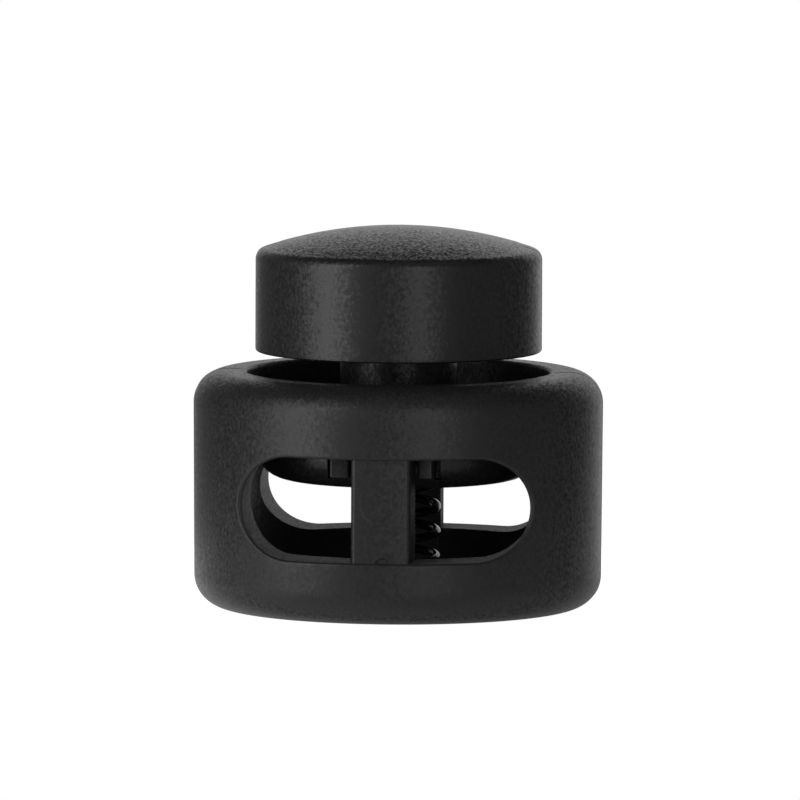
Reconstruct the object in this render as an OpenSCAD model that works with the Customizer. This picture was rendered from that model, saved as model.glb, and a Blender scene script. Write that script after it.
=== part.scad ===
// Round spring cord lock: a drum-shaped barrel with a cord window through it,
// a one-piece plunger with a round button, and a coil spring inside.
// The button faces +Z and the cords run along Y, one on each side of the posts.
// The origin is the centre of the barrel's underside.

/* [Barrel] */
// Outside diameter of the barrel, where its wall meets the rim
barrel_d = 20; // [19.8:0.1:21]
// Outside diameter of the barrel, where its wall meets the base
barrel_low_d = 19.86; // [19.7:0.02:20]
// Height of the barrel
barrel_h = 11.55; // [11.4:0.05:12]
// Rounding of the barrel's lower outer edge
base_round = 1.6; // [0.6:0.05:1.7]
// Rounding of the barrel's upper outer edge
rim_round = 1.55; // [0.6:0.05:1.8]
// Rounding of the mouth's inner edge
lip_round = 0.2; // [0.1:0.05:0.4]
// Diameter of the bore
bore_d = 14.8; // [14.8:0.1:15]
// Thickness of the floor
floor_t = 1.5; // [1.2:0.1:2]

/* [Window and posts] */
// Width of the window, end to end
window_w = 14; // [13:0.1:14.2]
// Height of the window
window_h = 5; // [4.9:0.02:5.06]
// Height of the window's lower edge above the base
window_z = 3.08; // [3:0.02:3.2]
// Width of a post at its outer face
post_w = 2.84; // [2.4:0.02:2.9]
// Width of a post at its inner face
post_root_w = 3.0; // [2.6:0.02:3.0]
// Depth of a post's outer face below the barrel's wall
post_recess = 0.2; // [0.1:0.05:0.5]
// How far a post stands into the bore
post_step = 0.25; // [0.1:0.05:0.25]

/* [Plunger] */
// Diameter of the button
button_d = 14; // [13:0.1:14]
// Gap between the rim and the button at rest
button_gap = 0.95; // [0.6:0.05:1.2]
// Height of the button, from its underside to the top of its dome
button_h = 6.1; // [5.6:0.1:6.6]
// Radius of the dome on the button
dome_r = 21; // [18:0.5:30]
// Rounding between the button's side and its dome
shoulder_round = 0.58; // [0.4:0.02:1]
// Diameter of the neck
neck_d = 5.7; // [5.6:0.1:6]
// Diameter of the foot that pinches the cords
foot_d = 14; // [13:0.1:14]
// Thickness of the foot
foot_t = 1.84; // [1.76:0.02:1.9]
// Rounding of the foot's lower edge
foot_round = 1.6; // [0.6:0.05:1.6]
// Distance from the middle to the inner face of a guide lug
lug_in = 1.65; // [1.6:0.01:1.7]
// Width of the wider guide lug on each side
lug_w = 0.95; // [0.75:0.05:1.1]
// Width of the narrower guide lug on each side
narrow_lug_w = 0.7; // [0.6:0.05:0.9]
// Height of a guide lug
lug_h = 1.01; // [0.9:0.01:1.05]
// Reach of a guide lug from the axis
lug_reach = 8.1; // [7.9:0.1:8.6]
// Width of the slot beside each guide lug
slot_w = 0.28; // [0.2:0.02:0.4]

/* [Spring] */
// Outside diameter of the spring
coil_d = 4.2; // [4:0.1:4.2]
// Diameter of the spring's wire
wire_d = 0.44; // [0.4:0.02:0.5]
// Number of turns
turns = 13; // [12:1:14]

/* [Hidden] */
$fn = 128;
plastic = [0.055, 0.055, 0.058];
steel = [0.72, 0.72, 0.7];
// Play that keeps two pieces apart where they only meet
play = 0.04;
// Excess that carries a cut past the face it opens
past = 1;
// Pin on the floor that centres the spring: a short cylinder under a cone
pin_r = 1.4;
pin_tip_r = 0.35;
pin_root_h = 0.3;
pin_h = 1.2;
// Distance from the axis to the bottom of the slot beside a lug, and the plastic left below the slot
slot_y = 5.3;
slot_floor_t = 0.5;
// How far a lug's root reaches into the foot, past the bottom of the slot
lug_bury = 0.1;
// Bore in the plunger for the spring, and the plastic left above it
spring_bore_r = 2.3;
crown_t = 1.95;
barrel_r = barrel_d / 2;
barrel_low_r = barrel_low_d / 2;
bore_r = bore_d / 2;
window_top = window_z + window_h;
button_r = button_d / 2;
button_z = barrel_h + button_gap;
top_z = button_z + button_h;
// The foot's lugs stop just under the window's upper edge
lug_top = window_top - play;
foot_top = lug_top + 0.1;
foot_z = foot_top - foot_t;
foot_r = foot_d / 2;
// Centre of the dome's sphere, and of the rounding that meets it smoothly
dome_z = top_z - dome_r;
shoulder_x = button_r - shoulder_round;
shoulder_z = dome_z + sqrt(pow(dome_r - shoulder_round, 2) - pow(shoulder_x, 2));
// Where the dome's arc ends and the rounding begins
dome_edge = dome_r * shoulder_x / (dome_r - shoulder_round);
bore_end = top_z - crown_t;
spring_low = floor_t + play;
spring_high = bore_end - play;

// Outer outline of the barrel: a slightly tapered wall with its lower and upper corners rounded
module barrel_outline() {
    polygon([
        [0, 0],
        [barrel_low_r - base_round, 0],
        [barrel_low_r, base_round],
        [barrel_r, barrel_h - rim_round],
        [barrel_r - rim_round, barrel_h],
        [0, barrel_h]
    ]);
    translate([barrel_low_r - base_round, base_round]) circle(base_round);
    translate([barrel_r - rim_round, barrel_h - rim_round]) circle(rim_round);
}

// Wall, floor and rim of the barrel, with the bore and its rounded mouth
module drum() {
    rotate_extrude() difference() {
        barrel_outline();
        translate([-past, floor_t]) square([bore_r + past, barrel_h]);
        difference() {
            translate([bore_r - past, barrel_h - lip_round]) square([past + lip_round, lip_round + past]);
            translate([bore_r + lip_round, barrel_h - lip_round]) circle(lip_round);
        }
    }
}

// Round-ended outline of the window, seen along Y
module window_outline() {
    half_span = (window_w - window_h) / 2;
    square([2 * half_span, window_h], center = true);
    for (side = [-1, 1]) translate([side * half_span, 0]) circle(d = window_h);
}

// Both openings of the window, cut through the wall in one pass
module window_cut() {
    translate([0, 0, window_z + window_h / 2])
        rotate([90, 0, 0])
            linear_extrude(height = barrel_d + 2 * past, center = true) window_outline();
}

// Upright post that divides one opening and guides the plunger, on the -Y side
module post() {
    face_y = barrel_r - post_recess;
    root_y = bore_r - post_step;
    intersection() {
        translate([0, 0, floor_t - play]) linear_extrude(height = window_top - floor_t + 2 * play)
            polygon([
                [-post_w / 2, -barrel_r],
                [post_w / 2, -barrel_r],
                [post_root_w / 2, -root_y],
                [-post_root_w / 2, -root_y]
            ]);
        cylinder(r = face_y, h = window_top);
    }
}

// Pointed pin that stands inside the spring's lower end
module pin() {
    rotate_extrude() polygon([
        [0, floor_t - play],
        [pin_r, floor_t - play],
        [pin_r, floor_t + pin_root_h],
        [pin_tip_r, floor_t + pin_h],
        [0, floor_t + pin_h]
    ]);
}

module barrel() {
    color(plastic) {
        difference() {
            drum();
            window_cut();
        }
        post();
        mirror([0, 1, 0]) post();
        pin();
    }
}

// Round-shouldered, domed outline of the button
module button_profile() {
    translate([0, button_z]) square([button_r, shoulder_z - button_z]);
    translate([shoulder_x, shoulder_z]) circle(shoulder_round);
    intersection() {
        translate([0, dome_z]) circle(dome_r, $fn = 512);
        translate([0, button_z]) square([dome_edge, button_h + past]);
    }
}

// Outline of the foot, flat above and rounded below
module foot_profile() {
    translate([0, foot_z]) square([foot_r - foot_round, foot_t]);
    translate([0, foot_z + foot_round]) square([foot_r, foot_t - foot_round]);
    intersection() {
        translate([foot_r - foot_round, foot_z + foot_round]) circle(foot_round);
        translate([0, foot_z]) square([foot_r, foot_t]);
    }
}

// One lug that slides along a post and catches under the window's upper edge, to the left (-1) or right (1) of it
module lug(side, width) {
    root_y = slot_y - lug_bury;
    translate([side * (lug_in + width / 2) - width / 2, -lug_reach, lug_top - lug_h])
        cube([width, lug_reach - root_y, lug_h]);
}

// Slot in the foot along the outer side of a lug, cut before the lug is added and partly covered by it
module slot(side, width) {
    covered = 0.05;
    middle_x = side * (lug_in + width + (slot_w - covered) / 2);
    translate([middle_x - (slot_w + covered) / 2, -foot_r - past, foot_z + slot_floor_t])
        cube([slot_w + covered, foot_r + past - slot_y, foot_t + past]);
}

// The wider lug stands left of the front post and the narrower one right of it; a half turn repeats both at the back
module plunger() {
    color(plastic) {
        difference() {
            rotate_extrude() {
                intersection() {
                    button_profile();
                    square([button_r, top_z]);
                }
                translate([0, foot_z]) square([neck_d / 2, button_z - foot_z + play]);
                foot_profile();
            }
            translate([0, 0, foot_z - past]) cylinder(r = spring_bore_r, h = bore_end - foot_z + past);
            for (turn = [0, 180]) rotate([0, 0, turn]) {
                slot(-1, lug_w);
                slot(1, narrow_lug_w);
            }
        }
        for (turn = [0, 180]) rotate([0, 0, turn]) {
            lug(-1, lug_w);
            lug(1, narrow_lug_w);
        }
    }
}

// Height of the wire's centre after t of the spring's length, 0 to 1, with a closed turn at each end
function coil_rise(t) =
    let (
        closed = 1 / turns,
        low = spring_low + wire_d / 2,
        high = spring_high - wire_d / 2,
        ramp = min(1, max(0, (t - closed) / (1 - 2 * closed)))
    )
    t < closed ? low + wire_d * t / closed
    : t > 1 - closed ? high - wire_d * (1 - t) / closed
    : low + wire_d + (high - low - 2 * wire_d) * ramp;

// Right-hand coil, swept as rings of points around the wire's centre line
module spring() {
    steps_per_turn = 14;
    sides = 6;
    steps = turns * steps_per_turn;
    mean_r = (coil_d - wire_d) / 2;
    points = [
        for (i = [0:steps], j = [0:sides - 1])
            let (
                turn = 360 * i / steps_per_turn,
                around = 360 * j / sides,
                r = mean_r + wire_d / 2 * cos(around)
            )
            [r * cos(turn), r * sin(turn), coil_rise(i / steps) + wire_d / 2 * sin(around)]
    ];
    skin = [
        for (i = [0:steps - 1], j = [0:sides - 1])
            let (
                next = (j + 1) % sides,
                a = i * sides + j,
                b = i * sides + next,
                c = (i + 1) * sides + next,
                d = (i + 1) * sides + j
            )
            [a, b, c, d]
    ];
    first_end = [for (j = [sides - 1:-1:0]) j];
    last_end = [for (j = [0:sides - 1]) steps * sides + j];
    color(steel) polyhedron(points, concat(skin, [first_end, last_end]));
}

barrel();
plunger();
spring();
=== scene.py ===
"""Round push-button cord lock: barrel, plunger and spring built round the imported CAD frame."""

import math

import bmesh
import bpy
import numpy as np
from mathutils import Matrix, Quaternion, Vector


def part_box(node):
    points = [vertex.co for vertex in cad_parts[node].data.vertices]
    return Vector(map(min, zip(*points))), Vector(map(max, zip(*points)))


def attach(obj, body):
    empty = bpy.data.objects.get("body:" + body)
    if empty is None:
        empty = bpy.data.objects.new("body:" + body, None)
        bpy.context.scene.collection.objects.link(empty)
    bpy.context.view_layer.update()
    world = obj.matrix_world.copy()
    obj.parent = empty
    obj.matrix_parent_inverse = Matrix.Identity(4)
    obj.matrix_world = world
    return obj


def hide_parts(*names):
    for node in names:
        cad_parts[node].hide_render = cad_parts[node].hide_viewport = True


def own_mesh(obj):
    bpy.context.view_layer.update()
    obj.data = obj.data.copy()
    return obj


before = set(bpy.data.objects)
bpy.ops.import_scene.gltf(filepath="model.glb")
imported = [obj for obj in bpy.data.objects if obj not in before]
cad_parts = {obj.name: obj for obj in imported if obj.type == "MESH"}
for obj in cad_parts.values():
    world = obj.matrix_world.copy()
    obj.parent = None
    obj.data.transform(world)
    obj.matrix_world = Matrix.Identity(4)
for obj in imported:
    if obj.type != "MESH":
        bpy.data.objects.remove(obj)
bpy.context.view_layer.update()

# Shapes are worked out in millimetres, the unit of part.scad, and become metres at the end
MM = 0.001


def box_mm(node):
    low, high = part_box(node)
    return np.array(low) / MM, np.array(high) / MM


_, BARREL_HIGH = box_mm("barrel")
PLUNGER_LOW, PLUNGER_HIGH = box_mm("plunger")
SPRING_LOW, SPRING_HIGH = box_mm("spring")
# Room between the spring's upper end and the top of its bore
SPRING_PLAY = 0.04

# Barrel
BARREL_R = BARREL_HIGH[0]
BARREL_H = BARREL_HIGH[2]
LOW_R = BARREL_R - 0.055
BASE_ROUND = 1.6
RIM_ROUND = 1.55
LIP_ROUND = 0.2
BORE_R = 7.4
FLOOR_Z = 1.5
WALL_LOW_Z = BASE_ROUND
WALL_HIGH_Z = BARREL_H - RIM_ROUND
BORE_LOW_Z = FLOOR_Z + 0.35
BORE_HIGH_Z = BARREL_H - LIP_ROUND
PIN_R = 1.4
PIN_TIP_R = 0.35
PIN_ROOT_H = 0.3
PIN_TOP_Z = 2.7

# Window and posts
WINDOW_Z = 5.58
WINDOW_END_R = 2.5
WINDOW_SPAN = 4.5
OUTER_EDGE_ROUND = 0.15
INNER_EDGE_ROUND = 0.05
POST_FACE_R = BARREL_R - 0.2
POST_HALF_W = 1.43
POST_ROOT_HALF_W = 1.48
POST_ROOT_Y = BORE_R - 0.25
POST_LOW_Z = FLOOR_Z - 0.3
POST_HIGH_Z = WINDOW_Z + WINDOW_END_R + 0.15
# The rounding of a post's outer corners, and how far in from its edge the face starts to follow the wall
POST_EDGE_ROUND = 0.2
POST_FACE_BLEND = 0.15
# Marks on a post's face: x and z of the centre, radius and depth
EJECTOR_MARK = (0.08, 6.0, 1.1, 0.04)
GATE_MARK = (0.1, 3.02, 0.35, 0.07)
MARK_EDGE_W = 0.06

# Plunger
BUTTON_R = PLUNGER_HIGH[0]
BUTTON_Z = 12.5
TOP_Z = PLUNGER_HIGH[2]
DOME_R = 21
DOME_Z = TOP_Z - DOME_R
SHOULDER_R = 0.58
NECK_R = 2.85
FOOT_R = BUTTON_R
FOOT_LOW_Z = PLUNGER_LOW[2]
FOOT_HIGH_Z = FOOT_LOW_Z + 1.84
FOOT_ROUND = 1.6
SPRING_BORE_R = 2.3
SPRING_BORE_Z = SPRING_HIGH[2] + SPRING_PLAY
LUG_IN = 1.65
LUG_W = 0.95
NARROW_LUG_W = 0.7
LUG_H = 1.01
LUG_HIGH_Z = 8.04
LUG_REACH = PLUNGER_HIGH[1]
LUG_EDGE_ROUND = 0.1
LUG_BURY = 0.1
GROOVE_W = 0.28
GROOVE_FLOOR_Y = 5.3
GROOVE_FLOOR_T = 0.5
GROOVE_COVERED_W = 0.05

# Spring: COIL_START is the share of a turn from +X, clockwise, at which the lower end lies
COIL_R = SPRING_HIGH[0]
WIRE_D = 0.44
TURNS = 13
COIL_START = 0.14
WIRE_END_SHARE = 0.8

# The line where the halves of the mould met stands this proud of the surface
RIDGE_H = 0.014
RIDGE_HALF_W = 0.03

# Panels of the barrel's wall that hold the windows: how far round they reach, their columns and rows,
# the columns along the window's straight edges, and the rings of points between window and border
PANEL_DEG = 80
PANEL_COLUMNS = 80
PANEL_ROWS = 24
EDGE_COLUMNS = 56
PANEL_RINGS = 12
# Angles of the columns on either side of a parting line
SIDE_STEPS = np.array([0, 0.12, 0.25, 0.45, 0.9, 2, 4, 6, 8, 10])
# How many degrees one step of a rounding in an outline turns by
ARC_STEP_DEG = 11
# Points closer than this are welded: in one skin, and after solids are cut from or joined to it
WELD = 0.001
JOINED_WELD = 0.004

# The grain of the plastic and the colours of its pits and peaks, the paler colour painted low inside the
# barrel as painted fill light, and the colours of the wire
GRAIN_SCALE = 6800.0
PLASTIC_DARK = (0.009, 0.009, 0.0094, 1)
PLASTIC_LIGHT = (0.026, 0.026, 0.0266, 1)
INSIDE_PAINTED_FILL = (0.055, 0.055, 0.056, 1)
STEEL_DARK = (0.16, 0.157, 0.152, 1)
STEEL_LIGHT = (0.27, 0.266, 0.258, 1)
# The duller inside of the barrel is this much rougher, and it and the painted fill light there end between
# these two heights
INSIDE_ROUGHER = 0.2
INSIDE_LOW_Z = 8.3
INSIDE_HIGH_Z = 9.5
# How much the plastic shines, how much the pits of its grain do, and the share left on the posts' sides
GLOSS = 0.5
PIT_GLOSS = 0.16
POST_SIDE_GLOSS = 0.15

# Light that reaches the object from in front, from above and from behind; the back light's centre is turned
# to the right and raised by some degrees
WORLD_FRONT = 0.16
WORLD_ABOVE = 0.025
WORLD_BACK = 0.92
WORLD_TURN = 4
WORLD_RISE = 4

# The table's radius in metres, its glow in front of the object and behind it, and how far from the middle
# the glow reaches these levels
FLOOR_R = 0.03
FLOOR_GLOW = 0.17
FLOOR_GLOW_BACK = 0.9
FLOOR_GLOW_REACH = 0.014


# ---- Mesh tools ----


class Skin:
    """Patches of quads, welded along the points that they share."""

    def __init__(self):
        self.points, self.faces, self.count = [], [], 0

    def patch(self, grid, loop=False):
        """Adds rows by columns of points; loop joins the last column to the first."""
        rows, columns = grid.shape[:2]
        self.points.append(grid.reshape(-1, 3))
        for i in range(rows - 1):
            for j in range(columns if loop else columns - 1):
                a, b = (self.count + i * columns + k for k in (j, (j + 1) % columns))
                self.faces.append((a, b, b + columns, a + columns))
        self.count += rows * columns

    def cap(self, ring, flip=False):
        """Closes a flat ring of points with one face."""
        face = list(range(self.count, self.count + len(ring)))
        self.points.append(ring)
        self.faces.append(tuple(face[::-1] if flip else face))
        self.count += len(ring)

    def build(self, name):
        """Welds the patches into one mesh object, with its faces turned outwards."""
        mesh = bpy.data.meshes.new(name)
        mesh.from_pydata(np.concatenate(self.points).tolist(), [], self.faces)
        shell = bmesh.new()
        shell.from_mesh(mesh)
        bmesh.ops.remove_doubles(shell, verts=shell.verts, dist=WELD)
        bmesh.ops.recalc_face_normals(shell, faces=shell.faces)
        shell.to_mesh(mesh)
        shell.free()
        made = bpy.data.objects.new(name, mesh)
        bpy.context.scene.collection.objects.link(made)
        return made


def unit(v):
    return v / np.linalg.norm(v)


def sweep(centre, start, end, steps):
    """Points on the arcs round centre from start to end, as steps + 1 rows. Works on one point or many."""
    a, b = start - centre, end - centre
    radius = np.linalg.norm(a, axis=-1, keepdims=True)
    ua, ub = a / radius, b / np.linalg.norm(b, axis=-1, keepdims=True)
    turn = np.arccos(np.clip((ua * ub).sum(-1, keepdims=True), -1, 1))
    rows = []
    for t in np.linspace(0, 1, steps + 1):
        along = (np.sin((1 - t) * turn) * ua + np.sin(t * turn) * ub) / np.sin(turn)
        rows.append(centre + radius * along)
    return np.array(rows)


def rounded(corners, closed=False, hold=0.04):
    """Outline through corners of (x, y, rounding); each arc has a short straight step at both ends."""
    places = [np.array(c[:2], float) for c in corners]
    last = len(places) - 1
    out = []
    for i, (place, corner) in enumerate(zip(places, corners)):
        if corner[2] == 0 or (not closed and i in (0, last)):
            out.append(place)
            continue
        back = unit(places[i - 1] - place)
        on = unit(places[(i + 1) % len(places)] - place)
        half = math.acos(np.clip(back @ on, -1, 1)) / 2
        centre = place + unit(back + on) * corner[2] / math.sin(half)
        start = place + back * corner[2] / math.tan(half)
        end = place + on * corner[2] / math.tan(half)
        steps = max(3, math.ceil(math.degrees(math.pi - 2 * half) / ARC_STEP_DEG))
        out.append(start + back * hold)
        out.extend(sweep(centre, start, end, steps))
        out.append(end + on * hold)
    return np.array(out)


def spread(outline, longest, closed=False):
    """Splits the steps of an outline that are longer than longest."""
    ends = list(outline) + ([outline[0]] if closed else [])
    out = []
    for a, b in zip(ends, ends[1:]):
        steps = max(1, math.ceil(np.linalg.norm(b - a) / longest))
        out.extend(a + (b - a) * k / steps for k in range(steps))
    return np.array(out if closed else out + [ends[-1]])


def arc_profile(centre, radius, start_deg, end_deg, steps):
    """Arc in a profile of (radius, height); 0 degrees points away from the axis and 90 up."""
    a = np.radians(np.linspace(start_deg, end_deg, steps + 1))
    return np.stack([centre[0] + radius * np.cos(a), centre[1] + radius * np.sin(a)], -1)


def column_angles():
    """Angles of the columns, from -Y towards +X: even in the two panels, close at the parting lines."""
    panel = np.linspace(-PANEL_DEG, PANEL_DEG, PANEL_COLUMNS + 1)
    side = np.concatenate([90 - SIDE_STEPS[::-1], 90 + SIDE_STEPS[1:]])
    half = np.concatenate([panel, side[1:]])[:-1]
    return np.radians(np.concatenate([half, half + 180]))


COLUMNS = column_angles()


def ridge(angles):
    """Height of the parting line's ridge at each angle, less its own top."""
    off_deg = np.abs(90 - np.abs((np.degrees(angles) + 180) % 360 - 180))
    off = np.radians(off_deg) * BARREL_R
    return RIDGE_H * (np.exp(-((off / RIDGE_HALF_W) ** 2)) - 1)


def turned(profile, angles, proud=0.0):
    """A profile of (radius, height) turned to each angle. proud is the share of the ridge that it shows."""
    along = np.gradient(profile, axis=0)
    along /= np.maximum(np.linalg.norm(along, axis=1, keepdims=True), 1e-9)
    proud = np.broadcast_to(proud, len(profile))[:, None] * ridge(angles)
    r = profile[:, :1] + along[:, 1:] * proud
    z = profile[:, 1:] - along[:, :1] * proud
    return np.stack([r * np.sin(angles), -r * np.cos(angles), z], -1)


def as_made(points):
    return points


def half_turn(points):
    return points * np.array([-1, -1, 1])


def combine(base, added, cut=()):
    """Cuts some solids from one and joins others to it, then removes them all."""
    others = [*cut, *added]
    for other in others:
        step = base.modifiers.new("step", "BOOLEAN")
        step.operation = "DIFFERENCE" if other in cut else "UNION"
        step.solver = "EXACT"
        step.object = other
    graph = bpy.context.evaluated_depsgraph_get()
    mesh = bpy.data.meshes.new_from_object(base.evaluated_get(graph))
    base.modifiers.clear()
    base.data = mesh
    shell = bmesh.new()
    shell.from_mesh(mesh)
    bmesh.ops.remove_doubles(shell, verts=shell.verts, dist=JOINED_WELD)
    bmesh.ops.dissolve_degenerate(shell, edges=shell.edges, dist=WELD)
    shell.to_mesh(mesh)
    shell.free()
    for other in others:
        bpy.data.objects.remove(other)


def finish_piece(piece, body, material, node, crease_deg=33):
    """Puts a piece in metres, smooths it, and hands it to the frame in place of its CAD node."""
    piece.data.transform(((MM, 0, 0, 0), (0, MM, 0, 0), (0, 0, MM, 0), (0, 0, 0, 1)))
    piece.data.shade_smooth()
    piece.data.set_sharp_from_angle(angle=math.radians(crease_deg))
    piece.data.materials.clear()
    piece.data.materials.append(material)
    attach(piece, body)
    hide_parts(node)


# ---- Barrel ----


def wall_r(z):
    return LOW_R + (BARREL_R - LOW_R) * (z - WALL_LOW_Z) / (WALL_HIGH_Z - WALL_LOW_Z)


def window_loop():
    """The window's edge: x and z of each point, its outward direction, and the panel point it runs out to."""
    n = 2 * (PANEL_COLUMNS + PANEL_ROWS)
    at = np.arange(n)
    top_start = (PANEL_COLUMNS - EDGE_COLUMNS) // 2
    top_end = top_start + EDGE_COLUMNS
    low_start = top_end + 2 * PANEL_ROWS
    knots = [0, top_start, top_end, low_start, low_start + EDGE_COLUMNS, n]
    shift = np.interp(at, knots, [-1, -1, 1, 1, -1, -1]) * WINDOW_SPAN
    facing = np.radians(np.interp(at, knots, [135, 90, 90, -90, -90, -225]))
    nx, nz = np.cos(facing), np.sin(facing)
    x, z = shift + WINDOW_END_R * nx, WINDOW_Z + WINDOW_END_R * nz
    sides = [0, PANEL_COLUMNS, PANEL_COLUMNS + PANEL_ROWS, 2 * PANEL_COLUMNS + PANEL_ROWS, n]
    border_angle = np.radians(np.interp(at, sides, [-1, 1, 1, -1, -1]) * PANEL_DEG)
    border_rise = np.interp(at, sides, [1, 1, 0, 0, 1])
    return x, z, nx, nz, border_angle, border_rise


def panel_rows(angle, z, border_angle, border_z, radius_at):
    """Rings of points on a wall, from the window's rounded edge and close beside it out to the border."""
    shares = np.concatenate([[0, 0.025], np.linspace(0.025, 1, PANEL_RINGS)[1:]])
    rows = []
    for t in shares:
        a, h = angle + (border_angle - angle) * t, z + (border_z - z) * t
        r = radius_at(h)
        rows.append(np.stack([r * np.sin(a), -r * np.cos(a), h], -1))
    return rows


def window_patch():
    """One window from the outer panel's border, through the wall, to the inner panel's border."""
    x, z, nx, nz, border_angle, border_rise = window_loop()
    tunnel, rows = [], []
    for edge_round, side in ((OUTER_EDGE_ROUND, -1), (INNER_EDGE_ROUND, 1)):
        outer = side < 0
        radius_at = (lambda h: wall_r(h) - RIDGE_H) if outer else (lambda h: np.full_like(h, BORE_R))
        low, high = (WALL_LOW_Z, WALL_HIGH_Z) if outer else (BORE_LOW_Z, BORE_HIGH_Z)
        cx, cz = x + edge_round * nx, z + edge_round * nz
        ball_r = radius_at(cz) + side * edge_round
        cy = -np.sqrt(ball_r**2 - cx**2)
        centre = np.stack([cx, cy, cz], -1)
        grow = (radius_at(cz) / ball_r)[:, None]
        on_wall = centre * np.concatenate([grow, grow, np.ones_like(grow)], -1)
        in_tunnel = np.stack([x, cy, z], -1)
        angle = np.arctan2(on_wall[:, 0], -on_wall[:, 1])
        border_z = low + (high - low) * border_rise
        panel = panel_rows(angle, cz, border_angle, border_z, radius_at)
        arc = list(sweep(centre, on_wall, in_tunnel, 9 if outer else 5))
        rows.append(panel[::-1] + arc[1:])
        tunnel.append(in_tunnel)
    a, b = tunnel
    across = [a + (b - a) * t for t in (0.02, 0.2, 0.4, 0.6, 0.8, 0.98)]
    return np.array(rows[0] + across + rows[1][::-1])


def barrel_skin():
    skin = Skin()
    # The underside, with a low stub in a shallow recess where the plastic came in
    gate = rounded(
        [
            (0, 0.16, 0), (0.45, 0.16, 0.03), (0.52, 0.22, 0.03), (1.15, 0.22, 0.08), (1.32, 0, 0.06),
            (LOW_R - BASE_ROUND, 0, 0),
        ],
        hold=0.01,
    )
    under = np.concatenate([
        spread(gate, 0.7),
        arc_profile((LOW_R - BASE_ROUND, BASE_ROUND), BASE_ROUND, -90, 0, 20)[1:],
    ])
    proud = np.clip((under[:, 1] / BASE_ROUND - 0.3) / 0.3, 0, 1) * (under[:, 0] > LOW_R - BASE_ROUND)
    under[:, 0] -= RIDGE_H * (under[:, 0] > LOW_R - BASE_ROUND) * (1 - proud)
    skin.patch(turned(under, COLUMNS, proud), loop=True)

    # The rim, from the wall over the top and into the bore
    rim_r = BARREL_R - RIM_ROUND
    lip_r = BORE_R + LIP_ROUND
    over = np.concatenate([
        arc_profile((rim_r, BARREL_H - RIM_ROUND), RIM_ROUND, 0, 90, 20),
        [(rim_r - 0.05, BARREL_H), (rim_r - 0.45, BARREL_H), (lip_r + 0.05, BARREL_H)],
        arc_profile((lip_r, BARREL_H - LIP_ROUND), LIP_ROUND, 90, 180, 8),
    ])
    proud = np.where(over[:, 0] > lip_r + 0.01, 1.0, 0.0)
    skin.patch(turned(over, COLUMNS, proud), loop=True)

    # The foot of the bore, the floor and the pin that holds the spring
    inside = rounded(
        [
            (BORE_R, BORE_LOW_Z, 0), (BORE_R, FLOOR_Z, 0.3), (PIN_R, FLOOR_Z, 0.1),
            (PIN_R, FLOOR_Z + PIN_ROOT_H, 0.1), (PIN_TIP_R, PIN_TOP_Z, 0.2), (0, PIN_TOP_Z, 0),
        ],
        hold=0.03,
    )
    skin.patch(turned(spread(inside, 0.7), COLUMNS), loop=True)

    # The walls at both sides and the two panels with the windows
    rise = np.linspace(0, 1, PANEL_ROWS + 1)
    wall_z = WALL_LOW_Z + (WALL_HIGH_Z - WALL_LOW_Z) * rise
    bore_z = BORE_HIGH_Z + (BORE_LOW_Z - BORE_HIGH_Z) * rise
    side = COLUMNS[PANEL_COLUMNS:PANEL_COLUMNS + 2 * len(SIDE_STEPS) - 1]
    windows = window_patch()
    for turn in (as_made, half_turn):
        skin.patch(turn(turned(np.stack([wall_r(wall_z), wall_z], -1), side, 1.0)))
        skin.patch(turn(turned(np.stack([np.full_like(bore_z, BORE_R), bore_z], -1), side)))
        skin.patch(turn(windows), loop=True)
    return skin


def post_skin(turn):
    """An upright post with rounded edges, an ejector pin's mark and a small gate's mark on its face."""
    edge_y = math.sqrt(POST_FACE_R**2 - POST_HALF_W**2)
    plan = rounded(
        [
            (-POST_HALF_W, -edge_y, POST_EDGE_ROUND), (POST_HALF_W, -edge_y, POST_EDGE_ROUND),
            (POST_ROOT_HALF_W, -POST_ROOT_Y, 0.16), (-POST_ROOT_HALF_W, -POST_ROOT_Y, 0.16),
        ],
        closed=True,
    )
    fine = spread(plan, 0.05, closed=True)
    coarse = spread(plan, 0.5, closed=True)
    blend_y = -edge_y + POST_FACE_BLEND
    plan = np.concatenate([fine[fine[:, 1] < blend_y], coarse[coarse[:, 1] >= blend_y]])
    plan = plan[np.argsort(np.arctan2(plan[:, 0], -(plan[:, 1] + (edge_y + POST_ROOT_Y) / 2)))]
    heights = np.linspace(POST_LOW_Z, POST_HIGH_Z, 141)
    grid = np.zeros((len(heights), len(plan), 3))
    grid[..., :2] = plan
    grid[..., 2] = heights[:, None]
    x, y, z = grid[..., 0], grid[..., 1], grid[..., 2]
    face = np.clip((blend_y - y) / POST_FACE_BLEND, 0, 1)
    bulge = np.sqrt(POST_FACE_R**2 - x**2) - edge_y
    marks = 0
    for mark_x, mark_z, radius, depth in (EJECTOR_MARK, GATE_MARK):
        share = np.clip((radius - np.hypot(x - mark_x, z - mark_z)) / MARK_EDGE_W, 0, 1)
        marks = marks + depth * share * share * (3 - 2 * share)
    grid[..., 1] = y - face * (bulge - marks)
    skin = Skin()
    skin.patch(turn(grid), loop=True)
    skin.cap(turn(grid[0]), flip=True)
    skin.cap(turn(grid[-1]))
    return skin


def make_barrel(material):
    barrel = barrel_skin().build("barrel_shell")
    front = post_skin(as_made).build("front_post")
    back = post_skin(half_turn).build("back_post")
    combine(barrel, [front, back])
    finish_piece(barrel, "barrel", material, "barrel")


# ---- Plunger ----


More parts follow.
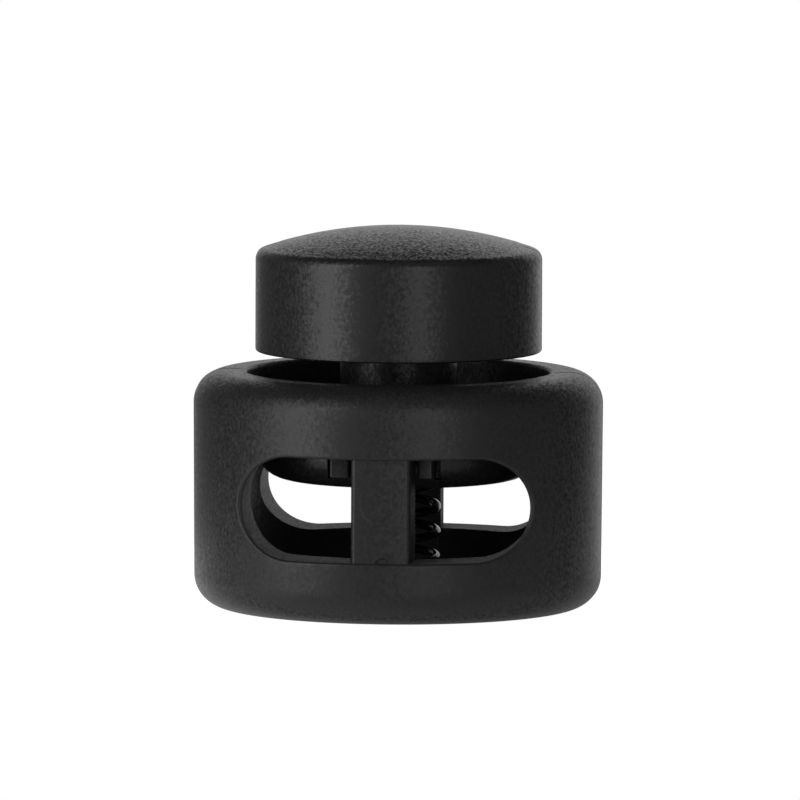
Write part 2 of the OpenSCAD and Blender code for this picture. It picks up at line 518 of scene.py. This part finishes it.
def plunger_profile():
    """From the top of the spring's bore, down and round the foot, up the neck and over the dome."""
    shoulder_x = BUTTON_R - SHOULDER_R
    shoulder_z = DOME_Z + math.sqrt((DOME_R - SHOULDER_R) ** 2 - shoulder_x**2)
    slope = math.degrees(math.acos(shoulder_x / (DOME_R - SHOULDER_R)))
    lower = rounded(
        [
            (0, SPRING_BORE_Z, 0), (SPRING_BORE_R, SPRING_BORE_Z, 0.2), (SPRING_BORE_R, FOOT_LOW_Z, 0.12),
            (FOOT_R, FOOT_LOW_Z, FOOT_ROUND), (FOOT_R, FOOT_HIGH_Z, 0.12), (NECK_R, FOOT_HIGH_Z, 0.15),
            (NECK_R, BUTTON_Z, 0.25), (BUTTON_R, BUTTON_Z, 0.16), (BUTTON_R, shoulder_z, 0),
        ]
    )
    return np.concatenate([
        spread(lower, 0.7),
        arc_profile((shoulder_x, shoulder_z), SHOULDER_R, 0, slope, 12)[1:],
        arc_profile((0, DOME_Z), DOME_R, slope, 90, 26)[1:],
    ])


def block(name, low, high, edge_round, turn):
    """A block between two corners with rounded edges, turned half round the axis if turn is -1."""
    low, high = np.array(low), np.array(high)
    shell = bmesh.new()
    bmesh.ops.create_cube(shell, size=1)
    for v in shell.verts:
        v.co = Vector(((low + high) / 2 + np.array(v.co) * (high - low)) * (turn, turn, 1))
    shell.normal_update()
    bmesh.ops.bevel(shell, geom=shell.edges[:], offset=edge_round, segments=4, profile=0.5, affect="EDGES")
    mesh = bpy.data.meshes.new(name)
    shell.to_mesh(mesh)
    shell.free()
    made = bpy.data.objects.new(name, mesh)
    bpy.context.scene.collection.objects.link(made)
    return made


def guides(turn):
    """The two guide lugs of one side, rooted inside the foot, and a cutter for the groove beside each."""
    lugs, grooves = [], []
    for sign, width in ((-1, LUG_W), (1, NARROW_LUG_W)):
        outer = LUG_IN + width
        x = sorted((sign * LUG_IN, sign * outer))
        low = (x[0], -LUG_REACH, LUG_HIGH_Z - LUG_H)
        high = (x[1], -(GROOVE_FLOOR_Y - LUG_BURY), LUG_HIGH_Z)
        lugs.append(block("lug", low, high, LUG_EDGE_ROUND, turn))
        x = sorted((sign * (outer - GROOVE_COVERED_W), sign * (outer + GROOVE_W)))
        low = (x[0], -LUG_REACH - 1, FOOT_LOW_Z + GROOVE_FLOOR_T)
        high = (x[1], -GROOVE_FLOOR_Y, FOOT_HIGH_Z + 1)
        grooves.append(block("groove", low, high, 0.03, turn))
    return lugs, grooves


def make_plunger(material):
    profile = plunger_profile()
    r, z = profile[:, 0], profile[:, 1]
    proud = (r > NECK_R + 0.5) & (z > BUTTON_Z + 0.1) & (z < TOP_Z - 0.9)
    skin = Skin()
    skin.patch(turned(profile, COLUMNS, proud.astype(float)), loop=True)
    plunger = skin.build("plunger_moulding")
    front_lugs, front_grooves = guides(1)
    back_lugs, back_grooves = guides(-1)
    combine(plunger, front_lugs + back_lugs, cut=front_grooves + back_grooves)
    finish_piece(plunger, "plunger", material, "plunger")


# ---- Spring ----


def make_spring(material):
    """Right-hand coil with a closed turn at each end."""
    per_turn, sides = 48, 14
    steps = TURNS * per_turn
    t = np.linspace(0, 1, steps + 1)
    low, high = SPRING_LOW[2] + WIRE_D / 2, SPRING_HIGH[2] - WIRE_D / 2
    closed = 1 / TURNS
    rise = np.interp(t, [0, closed, 1 - closed, 1], [low, low + WIRE_D, high - WIRE_D, high])
    turn = 2 * math.pi * (TURNS * t[:, None] - COIL_START)
    around = 2 * math.pi * np.arange(sides) / sides
    wire_r = np.full(steps + 1, WIRE_D / 2)
    wire_r[[0, -1]] *= WIRE_END_SHARE
    r = COIL_R - WIRE_D / 2 + wire_r[:, None] * np.cos(around)
    z = rise[:, None] + wire_r[:, None] * np.sin(around)
    grid = np.stack([r * np.cos(turn), r * np.sin(turn), z], -1)
    skin = Skin()
    skin.patch(grid, loop=True)
    skin.cap(grid[0], flip=True)
    skin.cap(grid[-1])
    spring = skin.build("coil_spring")
    finish_piece(spring, "barrel", material, "spring", crease_deg=50)
    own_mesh(spring)


# ---- Materials ----


class Nodes:
    """Short calls that add and join shader nodes."""

    def __init__(self, name):
        self.material = bpy.data.materials.new(name)
        self.material.use_nodes = True
        self.tree = self.material.node_tree
        self.shader = self.tree.nodes["Principled BSDF"]

    def add(self, kind, inputs=None, **settings):
        node = self.tree.nodes.new(kind)
        for key, value in settings.items():
            setattr(node, key, value)
        for key, value in (inputs or {}).items():
            if isinstance(value, bpy.types.NodeSocket):
                self.tree.links.new(value, node.inputs[key])
            else:
                node.inputs[key].default_value = value
        return node

    def noise(self, vector, scale, detail=2.0, roughness=0.5):
        inputs = {"Vector": vector, "Scale": scale, "Detail": detail, "Roughness": roughness}
        return self.add("ShaderNodeTexNoise", inputs).outputs["Fac"]

    def span(self, value, low, high, out_low, out_high):
        inputs = {"Value": value, "From Min": low, "From Max": high, "To Min": out_low, "To Max": out_high}
        return self.add("ShaderNodeMapRange", inputs).outputs["Result"]

    def axes(self, vector):
        """The three parts of a vector, by the names X, Y and Z."""
        return self.add("ShaderNodeSeparateXYZ", {"Vector": vector}).outputs

    def ramp(self, value, low, dark, high, light):
        node = self.add("ShaderNodeValToRGB", {"Fac": value})
        first, last = node.color_ramp.elements
        first.position, last.position = low, high
        first.color, last.color = dark, light
        return node.outputs["Color"]

    def bump(self, height, distance, normal=None):
        inputs = {"Height": height, "Strength": 1.0, "Distance": distance}
        if normal is not None:
            inputs["Normal"] = normal
        return self.add("ShaderNodeBump", inputs).outputs["Normal"]

    def math(self, operation, *values):
        inputs = dict(enumerate(values))
        return self.add("ShaderNodeMath", inputs, operation=operation).outputs["Value"]

    def vector_math(self, operation, inputs):
        return self.add("ShaderNodeVectorMath", inputs, operation=operation).outputs["Vector"]

    def roughen(self, vector, scale, slope):
        """The surface's own normal, tilted at random by a noise of vectors."""
        inputs = {"Vector": vector, "Scale": scale, "Detail": 3.0, "Roughness": 0.7}
        noise = self.add("ShaderNodeTexNoise", inputs)
        tilt = self.vector_math("SUBTRACT", {0: noise.outputs["Color"], 1: (0.5, 0.5, 0.5)})
        tilt = self.vector_math("SCALE", {0: tilt, "Scale": slope})
        own = self.add("ShaderNodeNewGeometry").outputs["Normal"]
        return self.vector_math("NORMALIZE", {0: self.vector_math("ADD", {0: own, 1: tilt})})

    def feed(self, socket, value):
        self.tree.links.new(value, self.shader.inputs[socket])


def inner_share(n, place, normal):
    """1 in the lower bore and the windows, 0 where a surface faces away from the axis or is higher up."""
    flat = n.vector_math("NORMALIZE", {0: n.vector_math("MULTIPLY", {0: place, 1: (1.0, 1.0, 0.0)})})
    outward = n.add("ShaderNodeVectorMath", {0: flat, 1: normal}, operation="DOT_PRODUCT").outputs["Value"]
    z = n.axes(place)["Z"]
    facing_in = n.span(outward, 0.35, 0.45, 1.0, 0.0)
    low_down = n.span(z, INSIDE_LOW_Z * MM, INSIDE_HIGH_Z * MM, 1.0, 0.0)
    above_base = n.span(z, (FLOOR_Z - 0.2) * MM, (FLOOR_Z - 0.1) * MM, 0.0, 1.0)
    return n.math("MULTIPLY", facing_in, n.math("MULTIPLY", low_down, above_base))


def post_side_share(n, place, normal):
    """1 on the flat sides of the posts, which are kept out of the painted fill light and shine less, so they
    look darker than the rest, and 0 elsewhere.
    """
    off_middle = n.math("ABSOLUTE", n.axes(place)["X"])
    sideways = n.math("ABSOLUTE", n.axes(normal)["X"])
    beside = n.span(off_middle, (POST_ROOT_HALF_W + 0.05) * MM, (POST_ROOT_HALF_W + 0.1) * MM, 1.0, 0.0)
    return n.math("MULTIPLY", beside, n.span(sideways, 0.7, 0.95, 0.0, 1.0))


def black_plastic(name, smooth, rough, slope, hollow=False):
    """Moulded black plastic; its fine grain tilts the surface, and a hollow piece is duller inside and
    painted paler low inside as painted fill light.
    """
    n = Nodes(name)
    coordinates = n.add("ShaderNodeTexCoord")
    place, normal = coordinates.outputs["Object"], coordinates.outputs["Normal"]
    drawn = n.vector_math("MULTIPLY", {0: place, 1: (1.0, 1.0, 0.75)})
    grain = n.noise(drawn, GRAIN_SCALE, detail=3.0, roughness=0.7)
    flow = n.noise(place, 500.0, detail=2.0)
    up = n.axes(normal)["Z"]
    depth = n.span(up, 0.3, 0.95, slope, 2.2 * slope)
    roughness = n.span(grain, 0.3, 0.7, smooth, rough)
    colour = n.ramp(grain, 0.3, PLASTIC_DARK, 0.75, PLASTIC_LIGHT)
    if hollow:
        inner = inner_share(n, place, normal)
        depth = n.math("MULTIPLY_ADD", inner, slope, depth)
        roughness = n.math("MULTIPLY_ADD", inner, INSIDE_ROUGHER, roughness)
        post_side = post_side_share(n, place, normal)
        # Painted fill light: the lower bore and the windows get a paler colour to brighten them, and the
        # posts' flat sides are left out of it
        painted_fill = n.math("MULTIPLY", inner, n.span(post_side, 0.0, 1.0, 1.0, 0.0))
        # Inputs 6 and 7 and output 2 are the two colours and the result of a colour mix
        colours = {"Factor": painted_fill, 6: colour, 7: INSIDE_PAINTED_FILL}
        colour = n.add("ShaderNodeMix", colours, data_type="RGBA").outputs[2]
    n.feed("Normal", n.bump(flow, 4.0e-6, n.roughen(drawn, GRAIN_SCALE, depth)))
    n.feed("Roughness", roughness)
    n.feed("Base Color", colour)
    # Seen at a slant, the grain's peaks hide its pits, so the pits shine less, most of all on upright faces
    slant = n.add("ShaderNodeLayerWeight", {"Blend": 0.5}).outputs["Facing"]
    upright = n.span(up, 0.3, 0.8, 1.0, 0.45)
    slanted = n.math("MULTIPLY", n.span(slant, 0.25, 0.45, 0.0, 1.0), n.span(slant, 0.55, 0.75, 1.0, 0.3))
    hidden = n.math("MULTIPLY", upright, slanted)
    pits = n.math("MULTIPLY", n.span(grain, 0.4, 0.6, 1.0, 0.0), hidden)
    gloss = n.span(pits, 0.0, 1.0, GLOSS, PIT_GLOSS)
    if hollow:
        gloss = n.math("MULTIPLY", gloss, n.span(post_side, 0.0, 1.0, 1.0, POST_SIDE_GLOSS))
    n.feed("Specular IOR Level", gloss)
    return n.material


def spring_steel():
    """Bright drawn wire with fine lines along it."""
    n = Nodes("spring_steel")
    place = n.add("ShaderNodeTexCoord").outputs["Object"]
    parts = n.axes(place)
    flat = n.add("ShaderNodeCombineXYZ", {"X": parts["X"], "Y": parts["Y"]}).outputs["Vector"]
    radius = n.add("ShaderNodeVectorMath", {0: flat}, operation="LENGTH").outputs["Value"]
    across = n.add("ShaderNodeCombineXYZ", {"X": radius, "Z": parts["Z"]}).outputs["Vector"]
    lines = n.noise(across, 24000.0, detail=2.0)
    spots = n.noise(place, 3000.0, detail=2.0)
    n.feed("Normal", n.bump(lines, 2.0e-6))
    n.feed("Roughness", n.span(spots, 0.3, 0.7, 0.07, 0.14))
    n.feed("Base Color", n.ramp(spots, 0.0, STEEL_DARK, 1.0, STEEL_LIGHT))
    n.shader.inputs["Metallic"].default_value = 1.0
    n.shader.inputs["Specular Tint"].default_value = (0.5, 0.5, 0.5, 1)
    return n.material


# ---- Studio ----


def direction(azimuth, elevation):
    """Unit vector from the object; azimuth 0 is towards -Y and 90 towards +X."""
    a, e = math.radians(azimuth), math.radians(elevation)
    return Vector((math.sin(a) * math.cos(e), -math.cos(a) * math.cos(e), math.sin(e)))


def make_camera():
    """The photograph's view: a long lens, some degrees to the right and above. Distances are in metres."""
    distance, picture_width_mm, lean = 0.70, 39.0149, -0.24
    target = Vector((0.08, 0, 10.09)) * MM
    back = direction(5.0, 5.45)
    camera = bpy.data.objects.new("camera", bpy.data.cameras.new("camera"))
    bpy.context.scene.collection.objects.link(camera)
    bpy.context.scene.camera = camera
    camera.location = target + back * distance
    camera.rotation_mode = "QUATERNION"
    look = (-back).to_track_quat("-Z", "Y")
    camera.rotation_quaternion = look @ Quaternion((0, 0, 1), math.radians(-lean))
    camera.data.sensor_width = 36
    camera.data.lens = 36 * distance / (picture_width_mm * MM)
    camera.data.clip_start = 0.01
    camera.data.clip_end = 20


def softbox(name, azimuth, elevation, distance, width, height, power):
    """Rectangular light that faces the object."""
    data = bpy.data.lights.new(name, "AREA")
    data.shape, data.size, data.size_y, data.energy = "RECTANGLE", width, height, power
    light = bpy.data.objects.new(name, data)
    bpy.context.scene.collection.objects.link(light)
    towards = direction(azimuth, elevation)
    light.location = Vector((0, 0, 0.01)) + towards * distance
    light.rotation_mode = "QUATERNION"
    light.rotation_quaternion = towards.to_track_quat("Z", "Y")


def make_world():
    """White all round for the camera; the light on the object is white low behind it and dim elsewhere."""
    world = bpy.data.worlds.new("studio")
    bpy.context.scene.world = world
    world.use_nodes = True
    tree = world.node_tree
    background = tree.nodes["Background"]

    def join(source, node, key):
        tree.links.new(source, node.inputs[key])

    def ease(value, low, high, out_low, out_high):
        node = tree.nodes.new("ShaderNodeMapRange")
        node.interpolation_type = "SMOOTHSTEP"
        join(value, node, "Value")
        for key, number in (("From Min", low), ("From Max", high), ("To Min", out_low), ("To Max", out_high)):
            node.inputs[key].default_value = number
        return node.outputs["Result"]

    place = tree.nodes.new("ShaderNodeTexCoord").outputs["Generated"]
    parts = tree.nodes.new("ShaderNodeSeparateXYZ")
    join(place, parts, "Vector")
    product = tree.nodes.new("ShaderNodeMath")
    product.operation = "MULTIPLY"
    behind = tree.nodes.new("ShaderNodeVectorMath")
    behind.operation = "DOT_PRODUCT"
    join(place, behind, 0)
    behind.inputs[1].default_value = -direction(-WORLD_TURN, -WORLD_RISE)
    join(ease(behind.outputs["Value"], 0.74, 1.02, 0, WORLD_BACK), product, 0)
    join(ease(parts.outputs["Z"], 0.55, 1.0, 1, 0), product, 1)
    level = tree.nodes.new("ShaderNodeMath")
    join(product.outputs["Value"], level, 0)
    join(ease(parts.outputs["Z"], 0.45, 0.8, WORLD_FRONT, WORLD_ABOVE), level, 1)
    join(level.outputs["Value"], background, "Strength")
    white = tree.nodes.new("ShaderNodeBackground")
    seen = tree.nodes.new("ShaderNodeLightPath").outputs["Is Camera Ray"]
    mix = tree.nodes.new("ShaderNodeMixShader")
    join(seen, mix, "Fac")
    join(background.outputs["Background"], mix, 1)
    join(white.outputs["Background"], mix, 2)
    white.inputs["Color"].default_value = background.inputs["Color"].default_value = (1, 1, 1, 1)
    join(mix.outputs["Shader"], tree.nodes["World Output"], "Surface")


def make_floor():
    """A small round white table top, which melts into the white behind it and glows more at the back left."""
    shell = bmesh.new()
    bmesh.ops.create_circle(shell, cap_ends=True, segments=96, radius=FLOOR_R)
    mesh = bpy.data.meshes.new("floor")
    shell.to_mesh(mesh)
    shell.free()
    floor = bpy.data.objects.new("floor", mesh)
    floor.location.z = -0.00002
    bpy.context.scene.collection.objects.link(floor)
    n = Nodes("pale_floor")
    n.shader.inputs["Base Color"].default_value = (0.85, 0.85, 0.85, 1)
    n.shader.inputs["Roughness"].default_value = 0.9
    n.shader.inputs["Specular IOR Level"].default_value = 0.0
    n.shader.inputs["Emission Color"].default_value = (1, 1, 1, 1)
    parts = n.axes(n.add("ShaderNodeTexCoord").outputs["Object"])
    back_and_left = n.math("MULTIPLY_ADD", parts["X"], -0.6, parts["Y"])
    glow = n.span(back_and_left, -FLOOR_GLOW_REACH, FLOOR_GLOW_REACH, FLOOR_GLOW, FLOOR_GLOW_BACK)
    seen = n.add("ShaderNodeLightPath").outputs["Is Camera Ray"]
    n.feed("Emission Strength", n.span(seen, 0, 1, glow, 0.97))
    floor.data.materials.append(n.material)


def make_studio():
    make_camera()
    make_world()
    make_floor()
    # Azimuth and elevation in degrees, then distance, width and height in metres, and power in watts
    softbox("key_left", -54, 10, 0.6, 0.3, 0.88, 2.02)
    softbox("fill_right", 21, 12, 0.8, 0.24, 0.9, 1.1)
    softbox("top", 60, 72, 0.7, 0.4, 0.4, 0.1)
    bpy.context.scene.view_settings.view_transform = "Standard"


make_studio()
make_barrel(black_plastic("barrel_plastic", 0.36, 0.5, 0.52, hollow=True))
make_plunger(black_plastic("plunger_plastic", 0.3, 0.44, 0.5))
make_spring(spring_steel())
